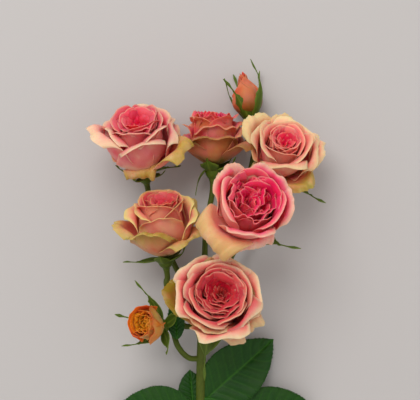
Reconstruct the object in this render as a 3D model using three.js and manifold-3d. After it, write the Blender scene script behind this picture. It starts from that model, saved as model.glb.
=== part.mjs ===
// A cut spray rose lying on its back: one leafy stem whose side stems carry six open blooms and two buds.
// Millimetres, +Z up from the surface it lies on, +Y from the cut end towards the flowers.
// Each bloom is a green calyx, a heart of packed inner petals and five outer petals that overlap as a pinwheel.
import * as THREE from "three";
import { mergeVertices } from "three/addons/utils/BufferGeometryUtils.js";
import Module from "manifold-3d";

const wasm = await Module();
wasm.setup();

// ---- Driving dimensions ----
const BLOOM_RADIUS = 27; // the widest bloom, to the rim of its outer petals
const STEM_BELOW_SPRAY = 172; // from the lowest leaf joint's level down to the cut end
const STEM_RADIUS = 2.4;
const SIDE_STEM_RADIUS = 1.5;
const HIP_RADIUS = 4.2; // the swollen green cup under the petals
const HIP_HEIGHT = 8;
const PETAL_THICKNESS = 0.8;
const PETALS_PER_BLOOM = 5;
const SEPAL_LENGTH = 17;
const SEPAL_WIDTH = 6.4;
const SEPAL_THICKNESS = 0.8;
const SEPALS = 5;
const BUD_RADIUS = 8.2;
const LEAFLET_LENGTH = 50;
const LEAFLET_WIDTH = 31;
const LEAF_THICKNESS = 0.8;
const BRACT_LENGTH = 18;
const BRACT_WIDTH = 5;
const LEAF_STALK_RADIUS = 1.1;
const CLEARANCE = 0.35; // between pieces that touch on the plant

// Flower places are multiples of the bloom's radius, so that the spray spreads when its blooms grow.
const SPRAY_UNIT = BLOOM_RADIUS / 27;

const RED_PINK = { color: 0xd9506b, roughness: 0.55, metalness: 0 };
const PEACH = { color: 0xe6a08c, roughness: 0.55, metalness: 0 };
const ORANGE = { color: 0xd9793f, roughness: 0.55, metalness: 0 };
const STEM_GREEN = { color: 0x4a5c1c, roughness: 0.5, metalness: 0 };
const LEAF_GREEN = { color: 0x1d4a17, roughness: 0.4, metalness: 0 };
const CALYX_GREEN = { color: 0x4e6b21, roughness: 0.5, metalness: 0 };

const spray = new THREE.Group();

// ---- Helpers ----
const at = (x, y, z) => new THREE.Vector3(x, y, z).multiplyScalar(SPRAY_UNIT);
const smooth = (t) => THREE.MathUtils.smoothstep(t, 0, 1);

function addPiece(name, geometry, look, frame = new THREE.Matrix4()) {
  const piece = new THREE.Mesh(geometry, new THREE.MeshStandardMaterial(look));
  piece.name = name;
  frame.decompose(piece.position, piece.quaternion, piece.scale);
  spray.add(piece);
  return piece;
}

function toSolid(geometry) {
  const bare = geometry.clone();
  bare.deleteAttribute("normal");
  bare.deleteAttribute("uv");
  const merged = mergeVertices(bare);
  return new wasm.Manifold(
    new wasm.Mesh({
      numProp: 3,
      vertProperties: new Float32Array(merged.attributes.position.array),
      triVerts: new Uint32Array(merged.index.array),
    }),
  );
}

function toGeometry(solid) {
  const mesh = solid.getMesh();
  return new THREE.BufferGeometry()
    .setAttribute("position", new THREE.BufferAttribute(mesh.vertProperties, 3))
    .setIndex(new THREE.BufferAttribute(mesh.triVerts, 1));
}

// A closed blade: middle(u, v) is its middle surface, u from -1 to 1 across and v from 0 to 1 along.
function blade(middle, across, along, thickness) {
  const step = 1e-3;
  const corners = [];
  for (const side of [1, -1]) {
    for (let j = 0; j <= along; j++) {
      for (let i = 0; i <= across; i++) {
        const u = (2 * i) / across - 1;
        const v = j / along;
        const along1 = middle(u, Math.min(v + step, 1)).sub(middle(u, Math.max(v - step, 0)));
        const across1 = middle(u + step, v).sub(middle(u - step, v));
        const normal = across1.cross(along1).normalize();
        corners.push(...middle(u, v).addScaledVector(normal, (side * thickness) / 2));
      }
    }
  }
  const row = across + 1;
  const back = row * (along + 1);
  const faces = [];
  const quad = (a, b, c, d) => faces.push(a, b, c, a, c, d);
  for (let j = 0; j < along; j++) {
    for (let i = 0; i < across; i++) {
      const a = j * row + i;
      quad(a, a + 1, a + row + 1, a + row);
      quad(back + a, back + a + row, back + a + row + 1, back + a + 1);
    }
  }
  for (let i = 0; i < across; i++) {
    const top = along * row + i;
    quad(i, back + i, back + i + 1, i + 1);
    quad(top, top + 1, back + top + 1, back + top);
  }
  for (let j = 0; j < along; j++) {
    const left = j * row;
    const right = left + across;
    quad(left, left + row, back + left + row, back + left);
    quad(right, back + right, back + right + row, right + row);
  }
  return new THREE.BufferGeometry()
    .setAttribute("position", new THREE.Float32BufferAttribute(corners, 3))
    .setIndex(faces);
}

// The frame of a flower: its origin is where the petals join the hip, and +Z is the way it faces.
function flowerFrame(place, facing) {
  const z = facing.clone().normalize();
  const x = new THREE.Vector3(1, 0, 0).addScaledVector(z, -z.x).normalize();
  const y = new THREE.Vector3().crossVectors(z, x);
  return new THREE.Matrix4().makeBasis(x, y, z).setPosition(place);
}

// A point on a surface turned round the flower's axis.
const turned = (radius, height, angle) =>
  new THREE.Vector3(radius * Math.cos(angle), radius * Math.sin(angle), height);

// ---- Calyx: the hip and its five sepals, one grown piece ----
const FIRST_SEPAL = Math.PI / SEPALS; // no sepal points straight along the surface
const HIP_NECK = SIDE_STEM_RADIUS + 0.4;

function hip() {
  const outline = [
    [0, -HIP_HEIGHT],
    [HIP_NECK, -HIP_HEIGHT],
    [HIP_RADIUS * 0.8, -HIP_HEIGHT * 0.72],
    [HIP_RADIUS, -HIP_HEIGHT * 0.4],
    [HIP_RADIUS * 0.92, 0],
    [0, 0],
  ];
  return new THREE.LatheGeometry(outline.map(([r, z]) => new THREE.Vector2(r, z)), 12).rotateX(Math.PI / 2);
}

// Sepals follow a line of [radius, height] points that starts inside the hip.
function sepalLine(habit, bud) {
  const inside = new THREE.Vector2(HIP_RADIUS * 0.5, -HIP_HEIGHT * 0.28);
  const out = (r, z) => new THREE.Vector2(HIP_RADIUS + r * SEPAL_LENGTH, z * SEPAL_LENGTH);
  const lines = {
    reflexed: [inside, out(0.18, -0.06), out(0.42, -0.24), out(0.58, -0.64)],
    spread: [inside, out(0.2, -0.06), out(0.5, -0.05), out(0.86, 0.02)],
    clasping: [
      inside,
      new THREE.Vector2(HIP_RADIUS + 1.2, -HIP_HEIGHT * 0.16),
      new THREE.Vector2(bud * 1.0 + CLEARANCE + SEPAL_THICKNESS * 1.4, bud * 0.95),
      new THREE.Vector2(bud * 1.0 + CLEARANCE + SEPAL_THICKNESS * 1.5, bud * 1.9),
      new THREE.Vector2(bud * 1.25, bud * 3.2),
    ],
  };
  return new THREE.SplineCurve(lines[habit]);
}

function calyx(habit, firstSepal, bud) {
  const line = sepalLine(habit, bud);
  let grown = toSolid(hip());
  for (let k = 0; k < SEPALS; k++) {
    const middleAngle = firstSepal + k * ((2 * Math.PI) / SEPALS);
    const middle = (u, v) => {
      const { x: r, y: z } = line.getPoint(v);
      const half = 0.3 + (SEPAL_WIDTH / 2) * Math.sin(Math.PI * Math.min(1, 0.2 + 0.8 * v)) ** 0.8;
      return turned(r, z, middleAngle + (u * Math.min(half, r * 0.55)) / r);
    };
    grown = grown.add(toSolid(blade(middle, 2, 5, SEPAL_THICKNESS)));
  }
  return toGeometry(grown);
}

// ---- Petals ----
const PETAL_TURN = (2 * Math.PI) / PETALS_PER_BLOOM;
const PETAL_HALF = PETAL_TURN * 0.66; // wider than half a turn's share, so neighbours overlap
const HEART_LOW = 0.44; // how far out the heart reaches low down and at its belly, as shares of its radius
const HEART_BELLY = 0.88;
const PETAL_STEP = (PETAL_THICKNESS + CLEARANCE) * 0.85; // each petal's one edge lies out and the other in

// The line of an outer petal: from its foot on the hip, close round the heart, then out to its rim.
function petalLine({ radius, height, ball }) {
  const round = (share) => ball * share + PETAL_STEP + PETAL_THICKNESS * 1.5 + CLEARANCE;
  return new THREE.SplineCurve([
    new THREE.Vector2(HIP_RADIUS * 0.95, CLEARANCE + PETAL_THICKNESS),
    new THREE.Vector2(round(HEART_LOW), height * 0.16),
    new THREE.Vector2(round(HEART_BELLY), height * 0.36),
    new THREE.Vector2(THREE.MathUtils.lerp(ball, radius, 0.75) + PETAL_THICKNESS, height * 0.54),
    new THREE.Vector2(radius, height * 0.58),
  ]);
}

function outerPetal(flower, k) {
  const line = petalLine(flower);
  const middleAngle = flower.start + k * PETAL_TURN;
  const middle = (u, v) => {
    const w = v * (1 - 0.16 * u ** 4);
    const { x: r, y: z } = line.getPoint(w);
    const { x: dr, y: dz } = line.getTangent(w);
    const out = PETAL_STEP * u * smooth(2 * w);
    const half = THREE.MathUtils.lerp(PETAL_TURN * 0.33, PETAL_HALF, smooth(w * 1.8));
    return turned(r + out * dz, z - out * dr, middleAngle + u * half);
  };
  return blade(middle, 5, 6, PETAL_THICKNESS);
}

// The packed inner petals, as one closed form with a dimple where they open.
function heart({ height, ball }) {
  const outline = [
    [0, CLEARANCE],
    [HIP_RADIUS * 0.35, CLEARANCE],
    [ball * HEART_LOW, height * 0.2],
    [ball * HEART_BELLY, height * 0.36],
    [ball, height * 0.6],
    [ball * 0.94, height * 0.82],
    [ball * 0.74, height],
    [ball * 0.42, height * 0.96],
    [0, height * 0.84],
  ];
  return new THREE.LatheGeometry(outline.map(([r, z]) => new THREE.Vector2(r, z)), 14).rotateX(Math.PI / 2);
}

function budBody(radius, height, open) {
  const outline = [
    [0, CLEARANCE],
    [HIP_RADIUS * 0.8, CLEARANCE],
    [radius * 0.86, height * 0.2],
    [radius, height * 0.4],
    [radius * (open ? 0.95 : 0.78), height * 0.7],
    [radius * (open ? 0.7 : 0.4), height * 0.93],
    [0, height],
  ];
  return new THREE.LatheGeometry(outline.map(([r, z]) => new THREE.Vector2(r, z)), 12).rotateX(Math.PI / 2);
}

// ---- Flowers ----
// place: where the petals join the hip. facing: the way the flower looks. start: angle of its first outer petal.
// ball: the radius of the heart. height: from the hip to the top of the heart.
const unit = BLOOM_RADIUS;
const BLOOMS = [
  {
    name: "top_left_bloom",
    place: at(-34.5, 119, 17.6),
    facing: [-0.12, 0.8, 0.6],
    radius: unit,
    ball: unit * 0.6,
    height: unit * 1.28,
    start: 0.9,
  },
  {
    name: "top_middle_bloom",
    place: at(1.6, 122, 15.4),
    facing: [0.02, 0.99, 0.12],
    radius: unit * 0.56,
    ball: unit * 0.45,
    height: unit * 0.93,
    start: 0.9,
  },
  {
    name: "top_right_bloom",
    place: at(36, 119.5, 16.3),
    facing: [0.12, 0.58, 0.8],
    radius: unit * 0.82,
    ball: unit * 0.56,
    height: unit,
    start: 0.2,
  },
  {
    name: "middle_left_bloom",
    place: at(-23.5, 75, 25),
    facing: [-0.08, 0.91, 0.4],
    radius: unit * 0.88,
    ball: unit * 0.57,
    height: unit * 1.2,
    start: 0.6,
  },
  {
    name: "centre_right_bloom",
    place: at(16, 92.5, 42.3),
    facing: [0.2, 0.42, 0.88],
    radius: unit * 0.9,
    ball: unit * 0.68,
    height: unit * 1.04,
    start: 0.1,
  },
  {
    name: "lower_bloom",
    place: at(3, 46.8, 31),
    facing: [0.02, 0.33, 0.94],
    radius: unit * 0.98,
    ball: unit * 0.72,
    height: unit * 1.04,
    start: 0.5,
  },
];
const BUDS = [
  {
    name: "top_bud",
    place: at(21.5, 149, 10),
    facing: [-0.2, 0.97, 0.05],
    radius: BUD_RADIUS,
    height: BUD_RADIUS * 2.9,
    habit: "clasping",
    firstSepal: FIRST_SEPAL,
  },
  {
    name: "lower_bud",
    place: at(-27, 38, 25),
    facing: [-0.5, 0.16, 0.85],
    radius: BUD_RADIUS * 1.15,
    height: BUD_RADIUS * 2,
    habit: "spread",
    firstSepal: FIRST_SEPAL / 2,
    open: true,
  },
];

// ---- Stems ----
const GROUND = 0.2; // the cut end's underside
const cutEnd = new THREE.Vector3(-5, -STEM_BELOW_SPRAY, STEM_RADIUS + GROUND);
const mainLine = new THREE.CatmullRomCurve3([
  cutEnd,
  new THREE.Vector3(-5, -STEM_BELOW_SPRAY * 0.6, STEM_RADIUS + 1.2),
  new THREE.Vector3(-4, -STEM_BELOW_SPRAY * 0.25, STEM_RADIUS + 3.5),
  at(-5, 5, 9),
  at(-4, 40, 11),
  at(-3, 70, 12),
]);

function tube(line, radius, steps) {
  const section = new THREE.Shape().absarc(0, 0, radius, 0, 2 * Math.PI);
  return new THREE.ExtrudeGeometry(section, { steps, curveSegments: 4, bevelEnabled: false, extrudePath: line });
}

// What is cut away from a side branch so that it meets the main stem with the clearance.
const mainStemSpace = toSolid(tube(mainLine, STEM_RADIUS + CLEARANCE, 24));

function hipFoot({ place, facing }) {
  const back = new THREE.Vector3(...facing).normalize();
  return (reach) => place.clone().addScaledVector(back, -(HIP_HEIGHT + CLEARANCE + reach));
}

// A side stem leaves the main stem at a share of its length and ends square under a flower's hip.
function sideStem(name, flower, share, ways) {
  const foot = hipFoot(flower);
  const line = new THREE.CatmullRomCurve3([mainLine.getPoint(share), ...ways, foot(5), foot(0)]);
  const grown = toSolid(tube(line, SIDE_STEM_RADIUS, 14)).subtract(mainStemSpace);
  addPiece(name, toGeometry(grown), STEM_GREEN);
}

// ---- Leaves: each is a stalk with toothed leaflets, one grown piece ----
function leaflet(base, direction, length, width, droop) {
  const ahead = direction.clone().normalize();
  const side = new THREE.Vector3().crossVectors(new THREE.Vector3(0, 0, 1), ahead).normalize();
  const up = new THREE.Vector3().crossVectors(ahead, side);
  const middle = (u, v) => {
    const half = 0.5 + (width / 2) * Math.sin(Math.PI * v ** 0.85) ** 0.85;
    return base
      .clone()
      .addScaledVector(ahead, length * v)
      .addScaledVector(side, -u * half)
      .addScaledVector(up, 0.12 * Math.abs(u) * half - droop * length * v * v);
  };
  return toSolid(blade(middle, 4, 6, LEAF_THICKNESS));
}

function leaf(name, points, leaflets) {
  const line = new THREE.CatmullRomCurve3(points);
  let grown = toSolid(tube(line, LEAF_STALK_RADIUS, 8));
  for (const { share, way, scale, droop } of leaflets) {
    const base = line.getPoint(share);
    grown = grown.add(leaflet(base, new THREE.Vector3(...way), LEAFLET_LENGTH * scale, LEAFLET_WIDTH * scale, droop));
  }
  addPiece(name, toGeometry(grown.subtract(mainStemSpace)), LEAF_GREEN);
}

// ---- Build ----
addPiece("main_stem", tube(mainLine, STEM_RADIUS, 24), STEM_GREEN);

const bloomLook = { top_middle_bloom: RED_PINK, centre_right_bloom: RED_PINK };
for (const bloom of BLOOMS) {
  const frame = flowerFrame(bloom.place, new THREE.Vector3(...bloom.facing));
  const look = bloomLook[bloom.name] ?? PEACH;
  addPiece(`${bloom.name}_calyx`, calyx("reflexed", FIRST_SEPAL), CALYX_GREEN, frame);
  addPiece(`${bloom.name}_heart`, heart(bloom), look, frame);
  for (let k = 0; k < PETALS_PER_BLOOM; k++) {
    addPiece(`${bloom.name}_outer_petal_${k + 1}`, outerPetal(bloom, k), look, frame);
  }
}
for (const bud of BUDS) {
  const frame = flowerFrame(bud.place, new THREE.Vector3(...bud.facing));
  addPiece(`${bud.name}_calyx`, calyx(bud.habit, bud.firstSepal, bud.radius), CALYX_GREEN, frame);
  addPiece(`${bud.name}_petals`, budBody(bud.radius, bud.height, bud.open), ORANGE, frame);
}

const [topLeft, topMiddle, topRight, middleLeft, centreRight, lower] = BLOOMS;
const [topBud, lowerBud] = BUDS;
sideStem("lower_bud_side_stem", lowerBud, 0.68, [at(-11, 20, 12), at(-17, 26.5, 15)]);
sideStem("lower_bloom_side_stem", lower, 0.785, [at(-1, 33, 18)]);
sideStem("middle_left_side_stem", middleLeft, 0.8, [at(-13, 37, 14), at(-20.5, 50, 17), at(-23, 61, 20)]);
sideStem("top_left_side_stem", topLeft, 0.85, [at(-14, 60, 6), at(-25, 82, 4.5), at(-31.5, 97, 5)]);
sideStem("top_bud_side_stem", topBud, 0.84, [at(3, 60, 6), at(13, 92, 4.5), at(21.5, 119, 5.5)]);
sideStem("top_right_side_stem", topRight, 0.885, [at(8, 68, 12), at(21, 92, 10)]);
sideStem("centre_right_side_stem", centreRight, 0.94, [at(2, 66, 20), at(10, 79, 29)]);
sideStem("top_middle_side_stem", topMiddle, 1, [at(-2, 90, 13)]);

leaf("right_leaf", [at(-4, -2, 9), at(4, -3, 8.5), at(24, -22, 5.5), at(44, -44, 3.4)], [
  { share: 0.08, way: [0.75, 0.66, 0], scale: 0.96, droop: 0.03 },
  { share: 0.45, way: [0.05, -1, 0], scale: 0.8, droop: 0.05 },
  { share: 0.5, way: [1, 0.1, 0], scale: 0.85, droop: 0.05 },
  { share: 0.97, way: [0.7, -0.7, 0], scale: 1, droop: 0.05 },
]);
leaf("left_leaf", [at(-5, -7, 8.4), at(-13, -11, 7.2), at(-30, -28, 5), at(-46, -48, 3.4)], [
  { share: 0.16, way: [-0.1, 1, -0.2], scale: 0.44, droop: 0 },
  { share: 0.2, way: [-0.95, 0.06, 0], scale: 0.8, droop: 0.05 },
  { share: 0.5, way: [0.1, -1, 0], scale: 0.8, droop: 0.05 },
  { share: 0.97, way: [-0.65, -0.75, 0], scale: 0.95, droop: 0.05 },
]);

// The narrow bract that grows where the lower bud's side stem bends, under the lower bloom's rim.
const bract = leaflet(at(-17.4, 31, 20.5), new THREE.Vector3(0, 1, 0.1), BRACT_LENGTH, BRACT_WIDTH, 0);
addPiece("lower_bud_bract", toGeometry(bract), LEAF_GREEN);

// The spray lies on the surface with the middle of its bounding box over the origin.
spray.updateMatrixWorld(true);
const bounds = new THREE.Box3().setFromObject(spray, true);
const middleOfBase = bounds.getCenter(new THREE.Vector3()).setZ(bounds.min.z);
spray.position.sub(middleOfBase);

export default spray;
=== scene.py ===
"""Cut spray rose lying on its back: petals, calyces, stems and leaves as thin grown surfaces."""

import math
from types import SimpleNamespace

import bpy
import numpy as np
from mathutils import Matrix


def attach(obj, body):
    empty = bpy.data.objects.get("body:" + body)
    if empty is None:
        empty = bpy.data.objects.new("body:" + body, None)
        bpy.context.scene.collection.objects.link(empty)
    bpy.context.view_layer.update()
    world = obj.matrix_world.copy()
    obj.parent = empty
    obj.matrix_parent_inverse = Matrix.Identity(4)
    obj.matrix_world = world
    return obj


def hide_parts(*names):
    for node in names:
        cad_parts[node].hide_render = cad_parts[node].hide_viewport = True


bl_info = {
    "name": "Cut Spray Rose",
    "version": (1, 0, 0),
    "blender": (4, 5, 0),
    "location": "View3D > Sidebar > Rose",
    "description": "Builds a cut spray rose around its CAD frame",
    "category": "Add Mesh",
}

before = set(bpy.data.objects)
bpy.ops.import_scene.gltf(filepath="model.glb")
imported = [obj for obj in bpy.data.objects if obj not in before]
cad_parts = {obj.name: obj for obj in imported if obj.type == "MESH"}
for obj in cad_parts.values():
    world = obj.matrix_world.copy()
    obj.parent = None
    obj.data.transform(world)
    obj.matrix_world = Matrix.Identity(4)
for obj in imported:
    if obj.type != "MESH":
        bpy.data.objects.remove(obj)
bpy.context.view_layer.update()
MM = 0.001
BODY = "root"


# ---- Numbers ----
def smooth(x):
    """0 below 0, 1 above 1, and an even S between them."""
    x = np.clip(x, 0, 1)
    return x * x * (3 - 2 * x)


def unit(v):
    """Vectors divided by their lengths."""
    v = np.asarray(v, float)
    return v / np.linalg.norm(v, axis=-1, keepdims=True)


def bump(x, middle, width):
    """A bell of height 1 at middle."""
    return np.exp(-(((x - middle) / width) ** 2))


# ---- Places, read from the frame, in millimetres ----
# How far the middle of a calyx lies below the top of its hip, for each way that its sepals are held.
CALYX_DEPTH = {"reflexed": 3.44, "spread": 2.16, "clasping": -4.67}
HIP_HEIGHT = 8.0
HIP_RADIUS = 4.2
JOINT_GAP = 0.35


def node_points(node):
    """A CAD node's points in millimetres, and its triangles as indices of them."""
    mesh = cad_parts[node].data
    points = np.empty(len(mesh.vertices) * 3)
    mesh.vertices.foreach_get("co", points)
    mesh.calc_loop_triangles()
    corners = np.empty(len(mesh.loop_triangles) * 3, int)
    mesh.loop_triangles.foreach_get("vertices", corners)
    return points.reshape(-1, 3) / MM, corners.reshape(-1, 3)


def middle_of(node):
    """The centre of a CAD node's volume: the sum over its faces of the tetrahedra they make with the origin."""
    points, corners = node_points(node)
    a, b, c = (points[corners[:, k]] for k in range(3))
    volume = np.einsum("ij,ij->i", a, np.cross(b, c))
    return ((a + b + c) * volume[:, None]).sum(0) / volume.sum() / 4


class Flower:
    """A bloom or bud: place is the top of its hip, and across, over and axis are its own three directions."""

    def __init__(self, name, petals, habit="reflexed"):
        self.name = name
        self.petals = petals
        low = middle_of(f"{name}_calyx")
        self.axis = unit(middle_of(petals) - low)
        self.place = low + self.axis * CALYX_DEPTH[habit]
        self.across = unit(np.array([1.0, 0, 0]) - self.axis * self.axis[0])
        self.over = np.cross(self.axis, self.across)

    def put(self, radial, tangent, height, turn):
        """Points at a radial, a sideways and a height distance, turned round the axis."""
        r = math.cos(turn) * self.across + math.sin(turn) * self.over
        t = -math.sin(turn) * self.across + math.cos(turn) * self.over
        return self.place + radial[..., None] * r + tangent[..., None] * t + height[..., None] * self.axis

    def turn_of(self, node):
        """The angle round the axis at which a CAD node lies."""
        d = middle_of(node) - self.place
        return math.atan2(d @ self.over, d @ self.across)


# ---- Meshes ----
TRAITS = ("rim", "inside", "depth", "green", "tone", "along")


class Surface:
    """Vertices, faces, a flat map in millimetres and the traits that the materials read."""

    def __init__(self, points, faces, flat, traits):
        self.points = points.reshape(-1, 3)
        self.faces = faces
        self.flat = flat.reshape(-1, 2)
        size = len(self.points)
        self.traits = {k: np.broadcast_to(traits.get(k, 0.0), size) for k in TRAITS}


def shares(rows, columns):
    """Shares across a sheet, from -1 to 1, and shares up it, from 0 to 1."""
    return np.linspace(-1, 1, columns)[None, :], np.linspace(0, 1, rows)[:, None]


def grid_faces(rows, columns, closed=False):
    """Four-cornered faces of a grid of points, wrapped round if the grid's columns close on themselves."""
    spare = 0 if closed else 1
    i, j = np.meshgrid(np.arange(rows - 1), np.arange(columns - spare), indexing="ij")
    k = (j + 1) % columns
    return np.stack([i * columns + j, i * columns + k, (i + 1) * columns + k, (i + 1) * columns + j], -1).reshape(-1, 4)


def grid_normals(points):
    """Across the sheet: the way the columns run, crossed with the way the rows run."""
    return unit(np.cross(np.gradient(points, axis=1), np.gradient(points, axis=0)))


def shell(points, thickness, flat, **traits):
    """A closed thin leaf round a sheet: the sheet pushed half its thickness each way, joined round its edge."""
    rows, columns = points.shape[:2]
    push = grid_normals(points) * (np.broadcast_to(thickness, (rows, columns))[..., None] / 2)
    both = np.concatenate([(points + push).reshape(-1, 3), (points - push).reshape(-1, 3)])
    front = grid_faces(rows, columns)
    back = front[:, ::-1] + rows * columns
    index = np.arange(rows * columns).reshape(rows, columns)
    edge = np.concatenate([index[0, :-1], index[:-1, -1], index[-1, :0:-1], index[:0:-1, 0]])
    after = np.roll(edge, -1)
    rim = np.stack([edge, edge + rows * columns, after + rows * columns, after], -1)
    wide = {k: np.broadcast_to(v, (rows, columns)).reshape(-1) for k, v in traits.items()}
    wide = {k: np.concatenate([v, v]) for k, v in wide.items()}
    wide["inside"] = np.repeat([0.0, 1.0], rows * columns)
    flat = flat.reshape(-1, 2)
    return Surface(both, [front, back, rim], np.concatenate([flat, flat]), wide)


def rounded(rings, flat, **traits):
    """A closed body of rings of points, each end drawn to the middle of its ring."""
    rows, columns = rings.shape[:2]
    ends = np.stack([rings[0].mean(0), rings[-1].mean(0)])
    points = np.concatenate([rings.reshape(-1, 3), ends])
    around = np.arange(columns)
    after = (around + 1) % columns
    last = (rows - 1) * columns
    first_cap = np.stack([after, around, np.full(columns, rows * columns)], -1)
    last_cap = np.stack([last + around, last + after, np.full(columns, rows * columns + 1)], -1)
    flat = np.concatenate([flat.reshape(-1, 2), flat[0, :1], flat[-1, :1]])
    wide = {}
    for k, v in traits.items():
        v = np.broadcast_to(v, (rows, columns))
        wide[k] = np.concatenate([v.reshape(-1), v[0, :1], v[-1, :1]])
    return Surface(points, [grid_faces(rows, columns, closed=True), first_cap, last_cap], flat, wide)


def make_piece(name, surfaces, material, node):
    """One mesh object at the origin holding these surfaces, riding on the body and standing for a CAD node."""
    points = np.concatenate([s.points for s in surfaces]) * MM
    points[:, 2] = above_floor(points[:, 2])
    starts = np.cumsum([0] + [len(s.points) for s in surfaces[:-1]])
    faces = [f + start for s, start in zip(surfaces, starts) for f in s.faces]
    corners = np.concatenate([f.reshape(-1) for f in faces])
    sides = np.concatenate([np.full(len(f), f.shape[1]) for f in faces])
    mesh = bpy.data.meshes.new(name)
    mesh.vertices.add(len(points))
    mesh.vertices.foreach_set("co", points.reshape(-1))
    mesh.loops.add(len(corners))
    mesh.loops.foreach_set("vertex_index", corners)
    mesh.polygons.add(len(sides))
    mesh.polygons.foreach_set("loop_start", np.cumsum(sides) - sides)
    mesh.polygons.foreach_set("loop_total", sides)
    mesh.update(calc_edges=True)
    if mesh.validate():
        raise RuntimeError(f"{name} has faces that are not sound")
    flat = np.concatenate([s.flat for s in surfaces])
    mesh.uv_layers.new(name="UVMap").data.foreach_set("uv", flat[corners].reshape(-1))
    for trait in TRAITS:
        values = np.concatenate([s.traits[trait] for s in surfaces])
        mesh.attributes.new(trait, "FLOAT", "POINT").data.foreach_set("value", values)
    mesh.shade_smooth()
    mesh.materials.append(material)
    piece = bpy.data.objects.new(name, mesh)
    bpy.context.scene.collection.objects.link(piece)
    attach(piece, BODY)
    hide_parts(node)


def above_floor(z):
    """What would sink into the surface is pressed flat on it: low heights are eased towards a hair above it."""
    hair, ease = 0.0002, 0.002
    low = hair + ease * np.exp(np.minimum((z - hair - ease) / ease, 0))
    return np.where(z < hair + ease, low, z)


# ---- Materials ----
# A petal's deepest colour, its upper side, its outer side, its edge, and what a guard petal weathers to.
PETAL_PARTS = ("heart", "face", "back", "rim", "guard")
FRECKLE_COLOUR = "8a5a2c"
PETAL_SATURATION = 1.04
# How high veins and grain stand, in metres: drawn coarser than life, so that they show.
RELIEF = 0.0003


def linear(code):
    """A six-digit sRGB colour as linear red, green, blue and 1."""
    parts = [int(code[k : k + 2], 16) / 255 for k in (0, 2, 4)]
    return [p / 12.92 if p <= 0.04045 else ((p + 0.055) / 1.055) ** 2.4 for p in parts] + [1.0]


def add_node(tree, kind, inputs, out=0, **settings):
    """Adds a node with its settings and gives one of its outputs. An input is a value, or an output to link."""
    node = tree.nodes.new(f"ShaderNode{kind}")
    for key, value in settings.items():
        setattr(node, key, value)
    for key, value in inputs.items():
        if isinstance(value, bpy.types.NodeSocket):
            tree.links.new(value, node.inputs[key])
        else:
            node.inputs[key].default_value = value
    return node.outputs[out] if node.outputs else None


def every(size):
    """Cycles in a metre, each way, of a pattern whose patches are this many millimetres across."""
    return (1000 / size,) * 3


# A recipe makes named values from named values, in this order. Traits are the mesh's own. A noise has its map, its
# cycles along each way and its detail; the place map is in metres and the flat one in millimetres. A ramp carries a
# value from one range to another. A join adds or multiplies two values. A layer lays one colour over another.
# A petal's veins run up it, here 0.45 mm apart, which is coarser than life so that they show.
PETAL_RECIPE = {
    "traits": TRAITS,
    "noises": {
        "veins": ("flat", (2.2, 0.16, 1.0), 4.0),
        "clouds": ("place", every(9.0), 3.0),
        "freckles": ("place", every(0.9), 1.0),
        "blush": ("place", every(12.0), 2.5),
    },
    "ramps": {
        # Foot and depth turn a petal to the heart colour at its foot, on its back when it lies deep, and on the inner
        # petals: partly their deeper colour, partly painted shade in the creases and the bloom's middle.
        "foot": ("along", 0.1, 0.85, 0.6, 0.0),
        "cloud_wash": ("clouds", 0.35, 0.75, 0.0, 0.3),
        "outer": ("depth", 0.2, 0.8, 1.0, 0.0),
        "tone_wash": ("tone", 0.3, 1.0, 0.0, 0.28),
        "deep_back": ("depth", 0.3, 1.0, 0.0, 1.0),
        "flush": ("clouds", 0.35, 0.7, 0.0, 0.5),
        "blushed": ("blush", 0.5, 0.68, 0.0, 0.5),
        # Pale patches in the rim colour on the outer petals: partly their paler colour, partly painted highlights.
        "highlight_patch": ("blush", 0.34, 0.5, 0.4, 0.0),
        "outermost": ("depth", 0.1, 0.6, 1.0, 0.0),
        # The cream hem is the outer petals' own rim colour; the fainter share kept on the inner petals' rims is painted
        # highlight on their edges.
        "edge": ("rim", 0.0, 1.0, 0.8, 0.0),
        "edge_share": ("depth", 0.1, 0.8, 1.0, 0.3),
        "edge_side": ("inside", 0.0, 1.0, 0.45, 1.0),
        "patchy": ("clouds", 0.2, 0.6, 0.6, 1.15),
        "freckle": ("freckles", 0.68, 0.76, 0.0, 1.0),
        "freckle_share": ("green", 0.3, 1.0, 0.0, 0.5),
        "vein": ("veins", 0.4, 0.75, 0.0, 0.07),
        "value": ("tone", 0.0, 1.0, 0.9, 1.1),
    },
    "joins": {
        "deep_and_crease_shade": ("ADD", "depth", "foot"),
        "outer_wash": ("MULTIPLY", "cloud_wash", "outer"),
        "wash": ("ADD", "outer_wash", "tone_wash"),
        "pale_and_highlight": ("MULTIPLY", "highlight_patch", "outermost"),
        "hem": ("MULTIPLY", "edge", "edge_share"),
        "shown_hem_and_highlight": ("MULTIPLY", "hem", "edge_side"),
        "greening": ("MULTIPLY", "green", "patchy"),
        "freckling": ("MULTIPLY", "freckle", "freckle_share"),
    },
    "layers": {
        "upper": ("deep_and_crease_shade", "face", "heart"),
        "washed": ("wash", "upper", "back"),
        "under": ("deep_back", "back", "heart"),
        "flushed": ("flush", "under", "face"),
        "sides": ("inside", "flushed", "washed"),
        "rosy": ("blushed", "sides", "heart"),
        "highlighted": ("pale_and_highlight", "rosy", "rim_colour"),
        "hemmed": ("shown_hem_and_highlight", "highlighted", "rim_colour"),
        "greened": ("greening", "hemmed", "guard"),
        "spotted": ("freckling", "greened", "freckle_colour"),
        "base": ("vein", "spotted", "heart"),
    },
}
GREEN_RECIPE = {
    "traits": ("rim", "inside"),
    "noises": {"grain": ("flat", (2.0, 0.25, 1.0), 3.0)},
    "ramps": {"shade": ("mottle", 0.3, 0.75, 0.0, 0.45), "line": ("grain", 0.4, 0.7, 0.0, 0.18)},
    "layers": {
        "sides": ("inside", "face", "back"),
        "ribbed": ("rim", "sides", "rib"),
        "shaded": ("shade", "ribbed", "back"),
        "base": ("line", "shaded", "rib"),
    },
}
FLOOR_RECIPE = {"noises": {"grain": ("place", every(1.5), 3.0)}}


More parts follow.
